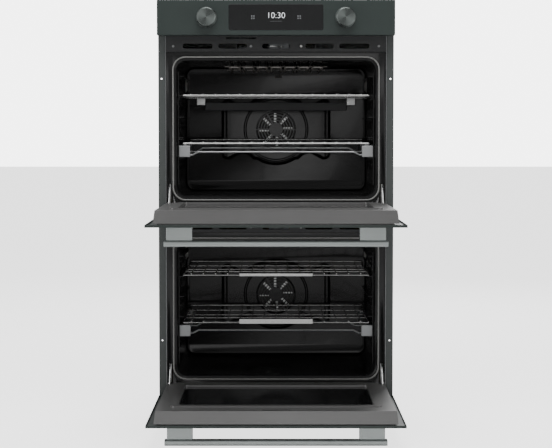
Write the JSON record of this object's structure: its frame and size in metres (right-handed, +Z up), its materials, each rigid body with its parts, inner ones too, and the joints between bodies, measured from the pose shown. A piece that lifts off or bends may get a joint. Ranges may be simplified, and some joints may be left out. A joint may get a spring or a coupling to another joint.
{
  "type": "double wall oven",
  "caption": "Built-in double wall oven with drop-down doors, bar handles, wire racks on roll-out slides, convection fans and a glass control panel with knobs.",
  "frame": {"origin": "centre of the underside in X, in the plane of the cabinet face", "axes": "+Z up, +Y to the rear, +X to the right seen from the front"},
  "size_m": [0.762, 1.1765, 1.35],
  "materials": {
    "galvanised_sheet": "galvanised, faint spangle",
    "green_paint": "satin dark green powder paint",
    "painted_trim": "satin dark green powder paint",
    "dark_trim": "satin black paint",
    "control_glass": "black printed glass",
    "circuit_board": "green solder mask",
    "black_enamel": "glossy black porcelain enamel",
    "gasket": "braided glass-fibre rope",
    "insulation": "glass wool",
    "element_sheath": "heat-darkened alloy sheath",
    "lamp_glass": "clear ribbed lamp glass",
    "bright_steel": "bright zinc plate",
    "rack_chrome": "nickel plated wire",
    "slide_steel": "satin stainless steel",
    "fan_steel": "bright fan blades",
    "bar_enamel": "dark grey enamel",
    "screw_steel": "dark zinc",
    "knob_metal": "spun-brushed, tinted",
    "plunger_plastic": "heat-proof moulding",
    "door_glass": "black bordered outer pane",
    "window_glass": "dark tinted heat-reflecting pane",
    "pan_steel": "dark bronze-grey enamel on steel",
    "handle_paint": "satin dark green paint"
  },
  "bodies": {
    "case": {"base_pan": "galvanised_sheet", "side_panels": "galvanised_sheet", "rear_panel": "galvanised_sheet", "top_cover": "galvanised_sheet", "side_trims": "painted_trim", "base_trim": "dark_trim", "control_fascia": "green_paint", "control_glass": "control_glass", "control_board": "circuit_board", "vent_strips": "dark_trim", "upper_cavity": "black_enamel", "lower_cavity": "black_enamel", "door_gaskets": "gasket", "insulation_wraps": "insulation", "fan_covers": "black_enamel", "convection_elements": "element_sheath", "fan_motors": "galvanised_sheet", "broil_elements": "element_sheath", "bake_elements": "element_sheath", "oven_lamps": "lamp_glass", "temperature_sensors": "bright_steel", "rack_guides": "black_enamel", "slide_rails": "rack_chrome", "blower_housing": "galvanised_sheet", "latch_motors": "galvanised_sheet", "hinge_receivers": "bright_steel", "junction_box": "galvanised_sheet", "frame_screws": "screw_steel"},
    "upper_door": {"upper_door_skin": "green_paint", "upper_door_glass": "door_glass", "upper_inner_glass": "window_glass", "upper_door_pan": "pan_steel", "upper_handle_bar": "handle_paint", "upper_handle_posts": "handle_paint"},
    "lower_door": {"lower_door_skin": "green_paint", "lower_door_glass": "door_glass", "lower_inner_glass": "window_glass", "lower_door_pan": "pan_steel", "lower_handle_bar": "handle_paint", "lower_handle_posts": "handle_paint"},
    "upper_stays": {"upper_stay_arms": "bright_steel"},
    "lower_stays": {"lower_stay_arms": "bright_steel"},
    "left_knob": {"left_knob": "knob_metal"},
    "right_knob": {"right_knob": "knob_metal"},
    "upper_flat_rack": {"upper_flat_rack": "rack_chrome", "rack_bar": "bar_enamel"},
    "lower_flat_rack": {"lower_flat_rack": "rack_chrome"},
    "upper_roll_rack": {"upper_roll_rack": "rack_chrome", "upper_slide_frame": "slide_steel"},
    "upper_mid_rails": {"upper_mid_rails": "slide_steel"},
    "lower_roll_rack": {"lower_roll_rack": "rack_chrome", "lower_slide_frame": "slide_steel"},
    "lower_mid_rails": {"lower_mid_rails": "slide_steel"},
    "upper_fan": {"upper_fan": "fan_steel"},
    "lower_fan": {"lower_fan": "fan_steel"},
    "blower": {"blower_wheel": "galvanised_sheet"},
    "upper_latch": {"upper_latch_hook": "bright_steel"},
    "upper_plunger": {"upper_plunger": "plunger_plastic"},
    "lower_latch": {"lower_latch_hook": "bright_steel"},
    "lower_plunger": {"lower_plunger": "plunger_plastic"}
  },
  "joints": [
    {"name": "upper_door_hinge", "type": "hinge", "parent": "case", "child": "upper_door", "pos_m": [0, -0.032, 0.677], "axis": [-1, 0, 0], "range_deg": [0, 90]},
    {"name": "lower_door_hinge", "type": "hinge", "parent": "case", "child": "lower_door", "pos_m": [0, -0.032, 0.092], "axis": [-1, 0, 0], "range_deg": [0, 90]},
    {"name": "upper_stay_hinge", "type": "hinge", "parent": "case", "child": "upper_stays", "pos_m": [0, 0.008, 0.743], "axis": [-1, 0, 0], "range_deg": [-30, 0]},
    {"name": "lower_stay_hinge", "type": "hinge", "parent": "case", "child": "lower_stays", "pos_m": [0, 0.008, 0.158], "axis": [-1, 0, 0], "range_deg": [-30, 0]},
    {"name": "left_knob_turn", "type": "hinge", "parent": "case", "child": "left_knob", "pos_m": [-0.222, -0.061, 1.294], "axis": [0, -1, 0], "continuous": true},
    {"name": "right_knob_turn", "type": "hinge", "parent": "case", "child": "right_knob", "pos_m": [0.222, -0.061, 1.294], "axis": [0, -1, 0], "continuous": true},
    {"name": "upper_flat_slide", "type": "slide", "parent": "case", "child": "upper_flat_rack", "axis": [0, 1, 0], "range_m": [-0.3, 0]},
    {"name": "lower_flat_slide", "type": "slide", "parent": "case", "child": "lower_flat_rack", "axis": [0, 1, 0], "range_m": [-0.3, 0]},
    {"name": "upper_roll_slide", "type": "slide", "parent": "case", "child": "upper_roll_rack", "axis": [0, 1, 0], "range_m": [-0.36, 0]},
    {"name": "upper_mid_slide", "type": "slide", "parent": "case", "child": "upper_mid_rails", "axis": [0, 1, 0], "range_m": [-0.18, 0]},
    {"name": "lower_roll_slide", "type": "slide", "parent": "case", "child": "lower_roll_rack", "axis": [0, 1, 0], "range_m": [-0.36, 0]},
    {"name": "lower_mid_slide", "type": "slide", "parent": "case", "child": "lower_mid_rails", "axis": [0, 1, 0], "range_m": [-0.18, 0]},
    {"name": "upper_fan_spin", "type": "hinge", "parent": "case", "child": "upper_fan", "pos_m": [0, 0.507, 0.939], "axis": [0, -1, 0], "continuous": true},
    {"name": "lower_fan_spin", "type": "hinge", "parent": "case", "child": "lower_fan", "pos_m": [0, 0.507, 0.354], "axis": [0, -1, 0], "continuous": true},
    {"name": "blower_spin", "type": "hinge", "parent": "case", "child": "blower", "pos_m": [0, 0.33, 1.201], "axis": [0, 0, 1], "continuous": true},
    {"name": "upper_latch_turn", "type": "hinge", "parent": "case", "child": "upper_latch", "pos_m": [0.017, 0.035, 1.205], "axis": [0, 0, 1], "range_deg": [0, 50]},
    {"name": "lower_latch_turn", "type": "hinge", "parent": "case", "child": "lower_latch", "pos_m": [0.017, 0.035, 0.62], "axis": [0, 0, 1], "range_deg": [0, 50]},
    {"name": "upper_plunger_press", "type": "slide", "parent": "case", "child": "upper_plunger", "axis": [0, 1, 0], "range_m": [0, 0.005], "stiffness_N_per_m": 200},
    {"name": "lower_plunger_press", "type": "slide", "parent": "case", "child": "lower_plunger", "axis": [0, 1, 0], "range_m": [0, 0.005], "stiffness_N_per_m": 200}
  ],
  "couplings": [
    {"joint": "upper_stay_hinge", "follows": "upper_door_hinge", "ratio": -0.33333},
    {"joint": "lower_stay_hinge", "follows": "lower_door_hinge", "ratio": -0.33333},
    {"joint": "upper_mid_slide", "follows": "upper_roll_slide", "ratio": 0.5},
    {"joint": "lower_mid_slide", "follows": "lower_roll_slide", "ratio": 0.5}
  ]
}
